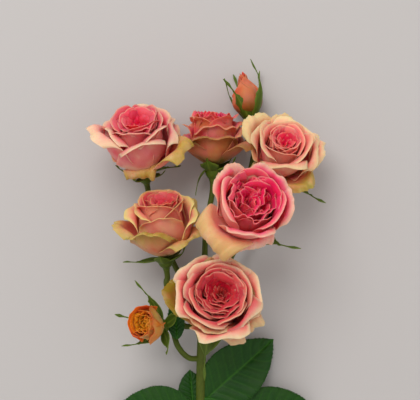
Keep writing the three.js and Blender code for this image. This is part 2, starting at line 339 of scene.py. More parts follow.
def new_material(name, recipe, made, relief, finish):
    """A Principled material from a recipe and its starting colours, with its finish set on the shader's own sockets.

    Its colour is the value named base, toned by the one named value if there is one. Its relief is a noise's name, a
    strength and a height in metres.
    """
    material = bpy.data.materials.new(name)
    material.use_nodes = True
    tree = material.node_tree
    tree.nodes.clear()
    made["flat"] = add_node(tree, "UVMap", {}, uv_map="UVMap")
    made["place"] = add_node(tree, "TexCoord", {}, out="Object")
    for key in recipe.get("traits", ()):
        made[key] = add_node(tree, "Attribute", {}, out="Fac", attribute_name=key)
    for key, (where, cycles, detail) in recipe["noises"].items():
        vector = add_node(tree, "Mapping", {"Vector": made[where], "Scale": cycles})
        made[key] = add_node(tree, "TexNoise", {"Vector": vector, "Scale": 1.0, "Detail": detail})
    for key, (source, *ends) in recipe.get("ramps", {}).items():
        inputs = {0: made[source]} | dict(enumerate(ends, 1))
        made[key] = add_node(tree, "MapRange", inputs, interpolation_type="SMOOTHSTEP")
    for key, (operation, one, other) in recipe.get("joins", {}).items():
        inputs = {0: made[one], 1: made[other]}
        made[key] = add_node(tree, "Math", inputs, operation=operation, use_clamp=operation == "ADD")
    for key, (share, below, above) in recipe.get("layers", {}).items():
        made[key] = add_node(tree, "Mix", {0: made[share], 6: made[below], 7: made[above]}, out=2, data_type="RGBA")
    if "value" in made:
        inputs = {"Color": made["base"], "Value": made["value"], "Saturation": PETAL_SATURATION}
        made["base"] = add_node(tree, "HueSaturation", inputs)
    source, strength, height = relief
    normal = add_node(tree, "Bump", {"Height": made[source], "Strength": strength, "Distance": height})
    shader = add_node(tree, "BsdfPrincipled", {"Base Color": made["base"], "Normal": normal} | finish)
    add_node(tree, "OutputMaterial", {"Surface": shader})
    return material


def petal_material(name, colours):
    """Rose petal: soft, thin and velvety, so light passes through it and its shaded folds stay warm.

    The face is pinker than the back. Towards its foot, and on the inner petals, it turns to the heart colour: partly
    the deeper colour of a rose's middle, partly painted shade in the creases between petals. The rim is cream, and
    guard petals are greened and freckled. Colours holds one flower's heart, face, back, rim and guard colours.
    """
    made = {part: list(getattr(colours, part)) for part in PETAL_PARTS}
    made |= {"rim_colour": made.pop("rim"), "freckle_colour": linear(FRECKLE_COLOUR)}
    finish = {
        "Roughness": 0.52,
        "Specular IOR Level": 0.35,
        "Subsurface Weight": 0.4,
        "Subsurface Radius": (1.0, 0.3, 0.2),
        "Subsurface Scale": 0.002,
        "Sheen Weight": 0.06,
        "Sheen Roughness": 0.5,
    }
    return new_material(name, PETAL_RECIPE, made, ("veins", 0.25, RELIEF), finish)


def green_material(name, face, back, rib, roughness, coarse):
    """Living green tissue under a thin wax: satin, mottled every coarse mm, with paler ribs and a duller back."""
    made = {"face": list(face), "back": linear(back), "rib": linear(rib)}
    mottle = {"mottle": ("place", every(coarse), 4.0)}
    recipe = GREEN_RECIPE | {"noises": mottle | GREEN_RECIPE["noises"]}
    finish = {
        "Roughness": roughness,
        "Specular IOR Level": 0.22,
        "Subsurface Weight": 0.08,
        "Subsurface Radius": (0.4, 0.9, 0.2),
        "Subsurface Scale": 0.001,
    }
    return new_material(name, recipe, made, ("grain", 0.2, RELIEF), finish)


def floor_material(name, colour):
    """Matt painted board: pale, even and without gloss."""
    finish = {"Roughness": 0.95, "Specular IOR Level": 0.1}
    return new_material(name, FLOOR_RECIPE, {"base": list(colour)}, ("grain", 0.05, 0.0002), finish)


# ---- Lines ----
def smooth_line(stops, share):
    """A smooth line through the stops, read at shares of 0 to 1 with the same share between every two stops.

    Each stretch is a cubic whose end slopes weigh the stretches beside it by the root of their lengths.
    """
    stops = np.array(stops, float)
    stops = np.concatenate([[2 * stops[0] - stops[1]], stops, [2 * stops[-1] - stops[-2]]])
    weight = np.sqrt(np.linalg.norm(np.diff(stops, axis=0), axis=1))[:, None]
    place = np.asarray(share, float) * (len(stops) - 3)
    k = np.clip(place.astype(int), 0, len(stops) - 4)
    f = (place - k)[..., None]
    a, b, c, d = (stops[k + n] for n in range(4))
    u, v, w = (weight[k + n] for n in range(3))
    start = ((b - a) / u - (c - a) / (u + v) + (c - b) / v) * v
    end = ((c - b) / v - (d - b) / (v + w) + (d - c) / w) * v
    return b + f * (start + f * (-3 * b + 3 * c - 2 * start - end + f * (2 * b - 2 * c + start + end)))


# ---- Petals ----
# Lengths are in millimetres and angles in degrees. The rest are shares, from 0 at the foot to 1 at the rim.
PETAL = dict(
    foot=3.4, rise=0.9, length=28.0, width=15.0, spread=30.0, lean=70.0, bend=0.4, roll=90.0, roll_from=0.78,
    point=0.12, cup=50.0, hem=40.0, round=0.3, tip=0.5, taper=0.2, ruffle=0.3, waves=3.0, nibble=0.15, skew=0.6,
    drift=0.0, phase=0.0, claw=0.3, thickness=0.36, cream=2.4, depth=0.0, green=0.0, green_foot=0.0, tone=0.5,
)


def climbed(foot, rise, length, slope, t):
    """How far out and how high each column gets, summed up from steps along its slope."""
    step = np.diff(t, axis=0, prepend=0) * length
    return foot + np.cumsum(np.cos(slope) * step, axis=0), rise + np.cumsum(np.sin(slope) * step, axis=0)


def cupped(half, bearing):
    """How far each row goes sideways and inwards from its middle, summed up from steps along its bearing."""
    columns = bearing.shape[1]
    step = half * 2 / (columns - 1)
    ways = (np.cumsum(part(bearing) * step, axis=1) for part in (np.cos, np.sin))
    return (way - way[:, columns // 2, None] for way in ways)


def petal(flower, turn, rows=25, columns=25, off=(0.0, 0.0), **shape):
    """One petal as a closed thin leaf.

    Along each column the petal climbs from its foot: its slope starts at spread, turns to lean around bend, and
    rolls outwards near the rim, sooner at the sides, so that the middle is left as a point. Across each row it cups
    inwards by cup and turns back at its side hems. Slopes are summed up into places along both ways.
    """
    p = SimpleNamespace(**(PETAL | shape))
    s, t = shares(rows, columns)
    t = 1 - (1 - t) ** 1.4
    turns, phase = p.waves * s * math.pi, p.phase
    wave = np.sin(turns + phase) + 0.6 * np.sin(2.3 * turns + 2.7 * phase)
    reach = p.length * (1 - p.round * np.abs(s) ** 2.6) + p.tip * bump(s, 0, 0.14) + 0.35 * p.ruffle * wave
    reach = reach + p.nibble * np.sin(23 * s + 5 * p.phase) * np.sin(9 * s + p.phase)
    slope = p.spread + (p.lean - p.spread) * smooth(t / max(2 * p.bend, 0.01))
    turn_at = p.roll_from - p.point * np.abs(s) ** 1.5
    slope = np.radians(slope - p.roll * smooth((t - turn_at) / (1 - turn_at)) ** 1.3 * (1 - 0.25 * s**2))
    radial, height = climbed(p.foot, p.rise, reach, slope, t)
    half = p.width * (p.claw + (1 - p.claw) * smooth(t * 1.7)) * (1 - p.taper * smooth((t - 0.55) / 0.45))
    cup = np.radians(p.cup) * (1 - 0.25 * t**3)
    hem = np.radians(p.hem) * smooth((np.abs(s) - 0.6) / 0.4) * np.sign(s) * smooth(t * 1.6 - 0.2)
    sideways, inwards = cupped(half, cup * s - hem)
    sideways = sideways + p.drift * t**2
    inwards = inwards + p.ruffle * wave * t**3 + p.skew * s * smooth(2 * t)
    points = flower.put(radial - np.sin(slope) * inwards, sideways, height + np.cos(slope) * inwards, turn)
    points = points + (off[0] * flower.across + off[1] * flower.over) * t[..., None]
    from_rim = np.minimum((1 - t) * reach, (1 - np.abs(s)) * half * 1.2 + 12 * (1 - smooth(t * 2)))
    flat = np.stack(np.broadcast_arrays(s * half, t * p.length), -1)
    green = p.green * smooth((t - 0.35) / 0.5) + p.green_foot * (1 - smooth(t / 0.75))
    traits = dict(rim=from_rim / max(p.cream, 0.05), along=t, green=np.clip(green, 0, 1), depth=p.depth, tone=p.tone)
    return shell(points, p.thickness * (0.6 + 0.4 * smooth(from_rim / 3)), flat, **traits)


def packed_petals(
    flower, thickness, seed, ball, top, core_radius, mids=9, core=32, drop=0.25, eye=0.3, ruffle=0.3,
    off=(0.0, 0.0), roll=95.0, quarters=0.0, green_foot=0.0,
):
    """The inner petals, from the outermost in, each turned by the golden angle.

    The mids step in from the ball's radius to the core's, with rolled rims. The core's petals step in to the eye,
    close together. Rim heights peak between the two and sink by eye towards the middle. Quarters draws the core's
    petals together round four middles of their own.
    """
    rng = np.random.default_rng(seed)
    golden = math.pi * (3 - math.sqrt(5))
    steps = np.linspace(ball * 1.04, core_radius * 1.08, mids), core_radius * np.linspace(1, 0.1, core) ** 0.9
    radii = np.concatenate(steps)
    sheets = []
    for k, radius in enumerate(radii):
        in_core = k >= mids
        inner = max(0.0, (k - mids) / (core - 1))
        outer = max(0.0, 1 - k / mids)
        blend_in = smooth(k / mids)
        split = quarters * smooth(4 * inner)
        corner = math.radians(40 + 90 * (k % 4))
        radius = radius * (1 - 0.42 * smooth(split))
        height = top * (1 - drop * outer**1.3 - eye * inner**1.5) * rng.uniform(0.97, 1.03)
        low = height * 0.38
        foot = min(2.4, radius * 0.6)
        run = math.hypot(radius - foot, low)
        lean = 93 + 3 * blend_in - 5 * inner + rng.uniform(-3, 3)
        rest = (height - low) / math.sin(math.radians(lean)) + 2.2 * outer**0.5
        turned = rng.uniform(0.7, 1.4) * (roll * (1 - 0.45 * blend_in))
        width = min(radius * 1.2 + 1.5, 15.5) * rng.uniform(0.85, 1.12)
        wild = ruffle * (rng.uniform(0.6, 2.0) if in_core else rng.uniform(0.3, 0.8))
        turn = k * golden + rng.uniform(-0.2, 0.2)
        pulls = zip(off, (math.cos(corner), math.sin(corner)))
        middle = [way * k / len(radii) + split * core_radius * 0.4 * pull for way, pull in pulls]
        shape = dict(foot=foot, rise=0.7, length=run + rest, width=width, lean=lean, roll=turned, roll_from=0.87)
        shape |= dict(spread=math.degrees(math.atan2(low, radius - foot)), bend=run / (run + rest) * 0.95)
        shape |= dict(cup=math.degrees(width / max(radius, 2.4)) * 0.92, hem=12 + 16 * outer, claw=0.4)
        shape |= dict(point=0.05 + 0.12 * outer, round=0.16 + 0.12 * rng.uniform(), tip=0.1 + 0.4 * outer)
        shape |= dict(ruffle=wild, waves=rng.uniform(1.2, 2.4) if in_core else rng.uniform(0.8, 1.7))
        shape |= dict(skew=0.4 + 0.5 * outer + rng.uniform(-0.2, 0.3), phase=rng.uniform(0, 6.28))
        shape |= dict(thickness=thickness, cream=0.9 + 2.6 * outer, green_foot=green_foot * outer)
        # Depth turns the inner petals towards the heart colour: partly their deeper colour, partly painted shade in the
        # bloom's middle.
        shape |= dict(depth=min(1.0, 0.55 * blend_in + 0.65 * inner), tone=rng.uniform(0, 1))
        fineness = 19 if in_core else 27
        sheets.append(petal(flower, turn, fineness, fineness, middle, **shape))
    return sheets


def furled_petal(flower, turn, seed, outline, height, scale, span, drop, **traits):
    """One petal of a closed bud, lying on an egg whose radius follows (share of height, radius) pairs.

    It spans an arc about its middle. Its rim is highest in the middle, falls by drop towards the sides, and both its
    sides and its rim lift a little off the egg.
    """
    rng = np.random.default_rng(seed)
    s, t = shares(rows=33, columns=33)
    rim = height * (1 - drop * np.abs(s) ** 1.7) + 0.25 * np.sin(5 * s + rng.uniform(0, 6))
    high = t * rim
    fine = smooth_line(outline, np.linspace(0, 1, 200))
    r = scale * np.interp(high / height, fine[:, 0], fine[:, 1])
    r = r + 0.5 * np.abs(s) ** 5 * smooth(t * 2) + 0.7 * smooth((t - 0.88) / 0.12)
    r = r + 0.25 * np.sin(3 * s + 4 * t + seed) * t
    angle = np.radians(span) * s * (1 - 0.1 * t)
    points = flower.put(r * np.cos(angle), r * np.sin(angle), 0.8 + high, turn)
    flat = np.stack(np.broadcast_arrays(angle * 8.0, high), -1)
    from_rim = np.minimum(rim - high, (1 - np.abs(s)) * 12)
    greens = traits.pop("green_foot") * (1 - smooth(t / 0.8))
    return shell(points, 0.3, flat, rim=from_rim / 1.2, along=t, green=greens, **traits)


# ---- Calyces ----
def lathe(flower, outline, columns=28, **traits):
    """A body of rings round the flower's axis, from an outline of (radius, height) pairs drawn as a smooth line."""
    line = smooth_line(outline, np.linspace(0, 1, 5 * len(outline)))
    angle = np.linspace(0, 2 * math.pi, columns, endpoint=False)[None, :]
    r, z = np.maximum(line[:, :1], 0.02), line[:, 1:]
    ring = flower.put(r * np.cos(angle), r * np.sin(angle), z, 0.0)
    flat = np.stack(np.broadcast_arrays(r * angle, z), -1)
    return rounded(ring, flat, **traits)


SEPAL = dict(
    length=19.0, width=2.9, start=-8, end=-62, curl=30, drift=0.0, foot=3.6, rise=-2.2, lobes=0.5, cup=35.0
)


def sepal(flower, turn, seed, **shape):
    """A pointed sepal with a drawn-out tip and small side lobes.

    Its slope goes from start to end along its length and curls at the tip. Its half-width swells, tapers to a thread
    and swells a little again in a leafy tip.
    """
    p = SimpleNamespace(**(SEPAL | shape))
    rng = np.random.default_rng(seed)
    s, t = shares(rows=45, columns=13)
    slope = np.radians(p.start + (p.end - p.start) * smooth(t * 1.1) - p.curl * smooth((t - 0.55) / 0.45))
    radial, height = climbed(p.foot, p.rise, p.length, slope, t)
    swell = np.sin(math.pi * np.clip(t * 1.3 + 0.2, 0, 1)) ** 1.1
    half = 0.26 + p.width * swell + 0.6 * bump(t, 0.88, 0.07)
    for side in (-1, 1):
        for at in (0.42, 0.62):
            spur = p.lobes * rng.uniform(0.3, 1.6) * bump(t, at + rng.uniform(-0.06, 0.06), 0.028)
            half = half + spur * (np.sign(s) == side)
    half = half * smooth((1.02 - t) * 14)
    sideways, inwards = cupped(half, np.radians(p.cup) * s)
    sideways = sideways + (p.drift + rng.uniform(-1.5, 1.5)) * t**2
    points = flower.put(radial - np.sin(slope) * inwards, sideways, height + np.cos(slope) * inwards, turn)
    flat = np.stack(np.broadcast_arrays(s * half, t * p.length), -1)
    rib = 0.6 * bump(s, 0, 0.12) + 0.6 * smooth((np.abs(s) - 0.75) / 0.25)
    return shell(points, 0.42, flat, rim=rib, along=t)


def hip(flower):
    """A neck a little wider than its stem, a round swelling, and a closed shallow top."""
    neck = 1.75
    outline = [
        (0.0, -HIP_HEIGHT),
        (neck, -HIP_HEIGHT),
        (neck + 0.25, -HIP_HEIGHT * 0.88),
        (HIP_RADIUS * 0.82, -HIP_HEIGHT * 0.66),
        (HIP_RADIUS, -HIP_HEIGHT * 0.38),
        (HIP_RADIUS * 0.97, -HIP_HEIGHT * 0.12),
        (HIP_RADIUS * 0.7, 0.1),
        (0.0, 0.2),
    ]
    return lathe(flower, outline, rim=0.1)


# ---- Stems ----
def tube(route, radius, columns=16, per_mm=0.5, **traits):
    """A round stem along a smooth line through the route's points; radius is one number or a function of the share."""
    route = np.array(route, float)
    length = np.linalg.norm(np.diff(route, axis=0), axis=1).sum()
    share = np.linspace(0, 1, int(length * per_mm) + 16)
    line = smooth_line(route, share)
    ahead = unit(np.gradient(line, axis=0))
    side = unit(np.cross(ahead, [0.13, 0.07, 1.0]))
    up = np.cross(side, ahead)
    angle = np.linspace(0, 2 * math.pi, columns, endpoint=False)
    r = (radius(share) if callable(radius) else np.full(len(share), radius))[:, None, None]
    circle = np.cos(angle)[:, None] * side[:, None] + np.sin(angle)[:, None] * up[:, None]
    rings = line[:, None] + r * circle
    run = np.concatenate([[0], np.cumsum(np.linalg.norm(np.diff(line, axis=0), axis=1))])
    flat = np.stack(np.broadcast_arrays(r[..., 0] * angle[None, :], run[:, None]), -1)
    return rounded(rings[:, ::-1], flat, along=share[:, None], **traits)


# ---- Leaves ----
def leaflet(base, ahead, up, length, width, seed, droop=2.0, fold=0.14, teeth=34):
    """A toothed leaflet: an egg-shaped outline notched all round, folded along its midrib and quilted by its veins.

    Its height is the fold, minus the droop, plus the swell of the blade between side veins that run forwards.
    """
    rng = np.random.default_rng(seed)
    ahead = unit(ahead)
    side = unit(np.cross(up, ahead))
    up = np.cross(ahead, side)
    s, t = shares(rows=121, columns=33)
    half = width / 2 * np.sin(math.pi * np.clip(t, 0, 1) ** 0.82) ** 0.72
    half = 0.25 + half * (1 - 0.12 * smooth((t - 0.8) / 0.2))
    tooth = (t * teeth + 0.15 * np.sin(t * 31 + seed)) % 1
    notch = 0.55 * tooth**1.5 * smooth(half / 4) * smooth((np.abs(s) - 0.55) / 0.45)
    x = s * half + np.sign(s) * notch
    y = length * t + 0.9 * notch - 0.04 * width * (s**2)
    vein = (t * 9 - np.abs(s) * 1.7) % 1
    quilt = 0.5 * np.sin(math.pi * vein) * smooth(half / 5) * (1 - np.abs(s) ** 4) * smooth(np.abs(s) * 5)
    z = fold * np.abs(x) + quilt - droop * t**2 + 0.7 * np.sin(t * 7 + rng.uniform(0, 6)) * np.abs(s) ** 2
    z = z - 0.3 * bump(s, 0, 0.06)
    points = base + x[..., None] * side + y[..., None] * ahead + z[..., None] * up
    ribs = 0.9 * bump(s * half, 0, 0.5) + 0.4 * bump(vein, 0.0, 0.07) * smooth(half / 4) + 0.4 * bump(vein, 1.0, 0.07)
    flat = np.stack([x, y], -1)
    return shell(points[:, ::-1], 0.4, flat[:, ::-1], rim=np.clip(ribs, 0, 1)[:, ::-1], along=t)


# ---- The spray ----
# The routes below are written from the stem's own origin; the lower bloom's place in the frame gives where that lies.
SHIFT = Flower("lower_bloom", "lower_bloom_heart").place - np.array([3.0, 46.8, 31.0])
MAIN_LINE = [(-5, -172, 2.6), (-5, -103.2, 3.6), (-4, -43, 5.9), (-5, 5, 9), (-4, 40, 11), (-3, 70, 12)]
SIDE_STEMS = {
    "lower_bud": (0.68, [(-11, 20, 12), (-17, 26.5, 15)]),
    "lower_bloom": (0.785, [(-1, 33, 18)]),
    "middle_left_bloom": (0.8, [(-13, 37, 14), (-20.5, 50, 17), (-23, 61, 20)]),
    "top_left_bloom": (0.85, [(-14, 60, 6), (-25, 82, 4.5), (-31.5, 97, 5)]),
    "top_bud": (0.84, [(3, 60, 6), (13, 92, 4.5), (21.5, 119, 5.5)]),
    "top_right_bloom": (0.885, [(8, 68, 12), (21, 92, 10)]),
    "centre_right_bloom": (0.94, [(2, 66, 20), (10, 79, 29)]),
    "top_middle_bloom": (1.0, [(-2, 90, 13)]),
}
BLOOMS = {
    "top_left_bloom": dict(seed=11, ball=16.2, top=34.5, core_radius=10.5, mids=11, drop=0.32, eye=0.24)
    | dict(ruffle=0.45, off=(3.5, -1), roll=130),
    "top_middle_bloom": dict(seed=22, ball=12.8, top=26.0, core_radius=10, mids=7, core=26, drop=0.36, eye=0.05)
    | dict(ruffle=1.1, roll=120, green_foot=0.8),
    "top_right_bloom": dict(seed=33, ball=15.1, top=27.0, core_radius=9.0, mids=9, drop=0.3, eye=0.2, off=(0, 2)),
    "middle_left_bloom": dict(seed=44, ball=15.4, top=32.4, core_radius=9.0, mids=10, drop=0.32, eye=0.2)
    | dict(off=(4.5, 1)),
    "centre_right_bloom": dict(seed=55, ball=18.4, top=28.0, core_radius=14.0, mids=7, core=42, drop=0.2, eye=0.3)
    | dict(ruffle=0.9, off=(3, 8), quarters=1.0),
    "lower_bloom": dict(seed=66, ball=19.4, top=28.0, core_radius=12.5, mids=14, core=42, drop=0.26, eye=0.42)
    | dict(ruffle=0.55, off=(4, 5.5), roll=110),
}
OPENING_BUD = dict(seed=88, ball=8.4, top=15.5, core_radius=6.6, mids=6, core=18, drop=0.12, eye=0.3)
OPENING_BUD |= dict(ruffle=1.0, roll=20, green_foot=0.5)
# The closed bud's outline as (share of its height, radius), and how its petals step inwards from the outermost.
CLOSED_BUD = [(0, 2.6), (0.14, 6.6), (0.34, 8.0), (0.58, 6.5), (0.8, 3.9), (1, 1.6)]
CLOSED_BUD_PETALS = 9
CLOSED_BUD_FIRST_TURN = -math.pi / 2 + 0.35
CLOSED_BUD_TURN = 2.4
CLOSED_BUD_SPAN = 100
# Each flower's colours, in the order of PETAL_PARTS.
PETAL_COLOURS = {
    "top_left_bloom": ("e42448", "f4828c", "ee8478", "f8d4ac", "a89228"),
    "top_middle_bloom": ("f02660", "fa6c8a", "d87852", "dc9c64", "7c661a"),
    "top_right_bloom": ("ea2450", "fa9c8e", "f8a488", "f8daa4", "a09034"),
    "middle_left_bloom": ("dc2844", "f28880", "e69478", "ecd684", "908424"),
    "centre_right_bloom": ("ec1450", "fc6288", "f0927e", "f8c8a8", "d0ae58"),
    "lower_bloom": ("c8082e", "ee7474", "e6947a", "f6d6ac", "8c7c22"),
    "top_bud": ("d23a38", "de7468", "ca7246", "d8885c", "704a10"),
    "lower_bud": ("e8a41a", "e04a24", "e0a862", "e2602e", "c0ac62"),
}


def guard(length, spread, lean, roll, cream, **more):
    """How one outer petal differs from a plain one."""
    return dict(length=length, spread=spread, lean=lean, roll=roll, cream=cream) | more


# How each bloom's five outer petals differ from one another, in the order of their nodes.
OUTER_PETALS = {
    "top_left_bloom": [
        guard(31, 34, 74, 110, 4),
        guard(27, 36, 76, 80, 3, green=0.2),
        guard(43, 40, 90, 120, 9, bend=0.44, roll_from=0.76, width=14),
        guard(16, 42, 62, 190, 2, roll_from=0.5, green=0.75, green_foot=0.6, width=10, ruffle=0.9),
        guard(36, 30, 66, 150, 8, bend=0.45, roll_from=0.74, green=0.75, width=12),
    ],
    "top_middle_bloom": [
        guard(24, 30, 58, 110, 3, green_foot=0.7, green=0.5, width=13),
        guard(21, 30.0, 66, 80, 2.4, green_foot=0.6, width=12),
        guard(27, 30, 52, 120, 3, green_foot=0.95, green=0.8, width=13),
        guard(24, 24, 80, 110, 2, roll_from=0.72, green_foot=1.0, green=0.7, width=15),
        guard(29, 28, 46, 130, 3, green_foot=0.95, green=0.8, width=14),
    ],
    "top_right_bloom": [
        guard(28, 32, 72, 120, 5, roll_from=0.76, width=13),
        guard(28, 34, 76, 70, 5, green=0.15, width=13),
        guard(32, 32, 64, 80, 12, roll_from=0.74, green=0.25, width=14, swing=-20),
        guard(22, 26, 34, 130, 3, green=1.0, green_foot=0.8, width=11),
        guard(25, 30, 44, 110, 3, green=0.8, green_foot=0.9, width=12),
    ],
    "middle_left_bloom": [
        guard(32, 36, 78, 140, 8, roll_from=0.8, green=0.45, width=11),
        guard(27, 36, 80, 70, 3, green=0.2, width=13),
        guard(30, 26, 64, 90, 6, roll_from=0.76, green=0.4, green_foot=0.85, width=14),
        guard(29, 28, 76, 100, 4, bend=0.45, roll_from=0.84, green=0.7, green_foot=0.7, width=15.5),
        guard(24, 30, 54, 120, 3, roll_from=0.84, green=0.5, green_foot=0.75, width=14),
    ],
    "centre_right_bloom": [
        guard(27, 36, 88, 50, 2.5, width=14),
        guard(28, 36, 88, 40, 4, width=14, green=0.1),
        guard(32, 34, 76, 90, 8, roll_from=0.76, width=14, swing=-20),
        guard(34, 30, 60, 170, 22, roll_from=0.56, green=0.6, width=16),
        guard(22, 32, 60, 150, 8, roll_from=0.68, width=13),
    ],
    "lower_bloom": [
        guard(30, 32, 78, 50, 3, green=0.6, width=14.5),
        guard(31, 30, 82, 60, 3, green=0.6, width=16),
        guard(29, 24, 46, 40, 4, green=0.9, width=14),
        guard(30, 36, 82, 60, 4, green=0.3, width=16),
        guard(30, 30, 66, 130, 7, roll_from=0.74, green=0.35, width=15, ruffle=1.2),
    ],
}
CLASPING = dict(start=58, end=84, curl=16, foot=3.4, rise=-1.6, cup=60)
SEPALS = {
    "top_middle_bloom": {
        0: dict(start=20, end=56, curl=-10, length=14),
        1: dict(start=20, end=56, curl=-10, length=14),
        2: dict(start=-50, end=-84, curl=0, width=4.6, length=15, lobes=0.1, cup=15),
        3: dict(start=30, end=76, curl=-6, width=5.0, length=14, rise=-2.5),
        4: dict(start=10, end=50, curl=-10, length=15),
    },
    "top_left_bloom": {k: dict(width=2.2, length=14, start=16, end=46, curl=-10) for k in range(5)}
    | {0: dict(width=1.6, length=19, start=-6, end=-30, curl=-20)},
    "middle_left_bloom": {
        3: dict(start=44, end=80, curl=6, width=4.6, length=13, rise=-3.4),
        2: dict(start=-10, end=10, curl=10),
        0: dict(start=20, end=50, curl=-20, length=14),
        1: dict(start=20, end=50, curl=-20, length=14),
        4: dict(start=24, end=60, curl=-10, length=15),
    },
    "lower_bloom": {3: dict(width=7.0, length=33, start=0, end=-14, curl=14, lobes=0.2, cup=12, drift=7)},
    "centre_right_bloom": {
        4: dict(width=6.2, length=29, start=8, end=2, curl=-10, drift=9, lobes=0.8),
        3: dict(width=2.2, length=24, start=-4, end=-30, curl=-10, drift=5),
    },
    "top_right_bloom": {4: dict(start=0, end=-10, curl=-20, length=27)},
}
BUD_SEPALS = {
    "top_bud": [
        CLASPING | dict(length=26, width=3.2),
        CLASPING | dict(length=27, width=3.2),
        CLASPING | dict(length=25, width=2.8, end=92, curl=6),
        CLASPING | dict(length=25, width=4.6, drift=-8, curl=12),
        CLASPING | dict(length=33, width=4.2, start=52, end=104, curl=-4, drift=-2),
    ],
    "lower_bud": [
        dict(start=20, end=60, curl=10, length=22),
        dict(start=26, end=52, curl=26, length=24, drift=8),
        dict(start=26, end=44, curl=10, length=22),
        dict(start=24, end=56, curl=10, length=19, width=3.2, drift=-8),
        dict(start=20, end=50, curl=0, length=20),
    ],
}
LEAVES = {
    "right_leaf": (
        [(-4, -2, 9), (4, -3, 8.5), (24, -22, 5.5), (44, -44, 3.4)],
        [
            (0.08, (0.75, 0.66, 0), 0.96, 0.03),
            (0.45, (0.05, -1, 0), 0.8, 0.05),
            (0.5, (1, 0.1, 0), 0.85, 0.05),
            (0.97, (0.7, -0.7, 0), 1.0, 0.05),
        ],
    ),
    "left_leaf": (
        [(-5, -7, 8.4), (-13, -11, 7.2), (-30, -28, 5), (-46, -48, 3.4)],
        [
            (0.16, (-0.1, 1, -0.2), 0.44, 0.0),
            (0.2, (-0.95, 0.06, 0), 0.8, 0.05),
            (0.5, (0.1, -1, 0), 0.8, 0.05),
            (0.97, (-0.65, -0.75, 0), 0.95, 0.05),
        ],
    ),
}


BRACT_FOOT = (-17.4, 31, 20.5)
BRACT_WAY = (-0.06, 1, 0.1)
BRACT = dict(length=21.0, width=8.0, seed=99, droop=0.5, teeth=9)

# ---- The stage, in metres ----
FLOOR_REACH = 6.0
# Each light's place and width, and the point that both are aimed at.
LIGHTS = {"key": ((-0.3, 0.7, 1.1), 0.8), "fill": ((0.7, -0.2, 1.2), 1.6)}
LIGHT_AIM = (0, 0.08, 0.03)
# The camera shows VIEW_WIDTH at VIEW_DISTANCE, and its middle is VIEW_CENTRE mm up the spray from the stems' origin.
SENSOR_MM = 36
VIEW_DISTANCE = 0.8
VIEW_WIDTH = 0.2184
VIEW_CENTRE = 104


def flowers():
    """The open blooms, by name."""
    return {name: Flower(name, f"{name}_heart") for name in BLOOMS}


def buds():
    """The two buds, by name."""
    return {
        "top_bud": Flower("top_bud", "top_bud_petals", "clasping"),
        "lower_bud": Flower("lower_bud", "lower_bud_petals", "spread"),
    }


def colour_setting(name, description, code):
    """A colour setting with an sRGB hex default."""
    return bpy.props.FloatVectorProperty(
        name=name, description=description, default=linear(code), subtype="COLOR", size=4, min=0.0, max=1.0
    )


def size_setting(name, description, default, unit="LENGTH"):
    """A size setting: a length in metres, unless its unit says otherwise."""
    return bpy.props.FloatProperty(name=name, description=description, default=default, min=0.0, unit=unit)


def petal_colours(flower, codes):
    """The class of settings that holds one flower's petal colours."""
    place = flower.replace("_", " ")
    notes = {
        part: colour_setting(part.capitalize(), f"{part.capitalize()} colour of the {place}", code)
        for part, code in zip(PETAL_PARTS, codes, strict=True)
    }
    return type(f"Petals_{flower}", (bpy.types.PropertyGroup,), {"__annotations__": notes})


class SprayColours(bpy.types.PropertyGroup):
    stem: colour_setting("Stem", "Colour of the stems", "4a5610")
    leaf: colour_setting("Leaf", "Colour of a leaf's upper side", "123f06")
    hip: colour_setting("Hip", "Colour of hips and sepals", "46590d")
    floor: colour_setting("Floor", "Colour of the floor", "c0bbb8")


class SpraySizes(bpy.types.PropertyGroup):
    stem: size_setting("Stem radius", "Radius of the main stem", 0.0024)
    side_stem: size_setting("Side stem radius", "Radius of a side stem", 0.0015)
    guard_petal: size_setting("Outer petal thickness", "Thickness of an outer petal at its thickest", 0.00036)
    inner_petal: size_setting("Inner petal thickness", "Thickness of an inner petal at its thickest", 0.00028)
    leaflet: size_setting("Leaflet length", "Length of the largest leaflet", 0.05)
    leaflet_width: size_setting("Leaflet width", "Width of the largest leaflet", 0.031)
    camera_height: size_setting("Camera height", "Height of the camera above the floor", 0.83)
    key: size_setting("Key light", "Power of the main light", 8.4, "POWER")
    fill: size_setting("Fill light", "Power of the weaker light", 0.8, "POWER")
    sky: size_setting("Room light", "Strength of the even light all round", 0.66, "NONE")


class ROSE_OT_hearts(bpy.types.Operator):
    """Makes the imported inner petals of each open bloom"""

    bl_idname = "rose.hearts"
    bl_label = "Inner petals"

    def execute(self, context):
        for name, flower in flowers().items():
            material = petal_material(f"petal_{name}", getattr(context.scene, f"rose_{name}"))
            sheets = packed_petals(flower, context.scene.rose_sizes.inner_petal / MM, **BLOOMS[name])
            make_piece(f"{name}_inner_petals", sheets, material, f"{name}_heart")
        return {"FINISHED"}


class ROSE_OT_outer_petals(bpy.types.Operator):
    """Makes the five outer petals of each open bloom"""

    bl_idname = "rose.outer_petals"
    bl_label = "Outer petals"

    def execute(self, context):
        for name, flower in flowers().items():
            rng = np.random.default_rng(BLOOMS[name]["seed"])
            material = bpy.data.materials[f"petal_{name}"]
            for k, shape in enumerate(OUTER_PETALS[name], 1):
                node = f"{name}_outer_petal_{k}"
                drawn = dict(phase=rng.uniform(0, 6), waves=rng.uniform(0.8, 1.7), ruffle=rng.uniform(0.4, 0.9))
                drawn |= dict(hem=rng.uniform(40, 70), cup=rng.uniform(48, 60), tip=rng.uniform(0.8, 2.0))
                drawn |= dict(tone=rng.uniform(0.2, 0.9), drift=rng.uniform(-2, 2), nibble=0.45, skew=1.0)
                drawn |= dict(thickness=context.scene.rose_sizes.guard_petal / MM)
                drawn |= shape
                turn = flower.turn_of(node) + math.radians(drawn.pop("swing", 0))
                sheet = petal(flower, turn, rows=37, columns=37, **drawn)
                make_piece(f"{name}_guard_petal_{k}", [sheet], material, node)
        return {"FINISHED"}


